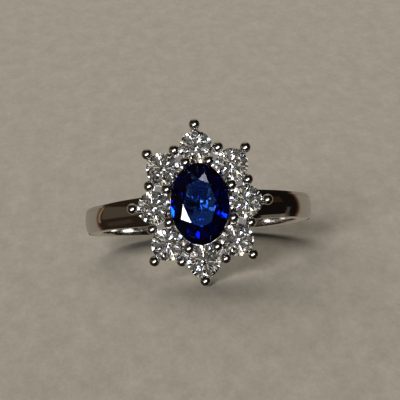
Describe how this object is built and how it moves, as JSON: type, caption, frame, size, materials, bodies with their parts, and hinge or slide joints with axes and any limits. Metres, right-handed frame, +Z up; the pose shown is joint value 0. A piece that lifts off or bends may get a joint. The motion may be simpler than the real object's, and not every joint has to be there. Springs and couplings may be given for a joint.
{
  "type": "sapphire cluster ring",
  "caption": "Finger ring with a raised oval blue stone in a halo of round white stones on a plain polished band, lying on its side.",
  "frame": {"origin": "on the surface that the ring lies on, under the middle of its bounding box", "axes": "+Z up, -Y the way the head faces, +X across the head's width; the ring's mirror plane is X = 0"},
  "size_m": [0.02, 0.0248, 0.0139],
  "materials": {
    "polished_metal": "rhodium-plated silver, mirror polished",
    "blue_sapphire": "faceted and polished",
    "white_stone": "faceted and polished"
  },
  "bodies": {
    "root": {"band_and_setting": "polished_metal", "oval_sapphire": "blue_sapphire", "white_stone_1": "white_stone", "white_stone_2": "white_stone", "white_stone_3": "white_stone", "white_stone_4": "white_stone", "white_stone_5": "white_stone", "white_stone_6": "white_stone", "white_stone_7": "white_stone", "white_stone_8": "white_stone"}
  },
  "joints": []
}
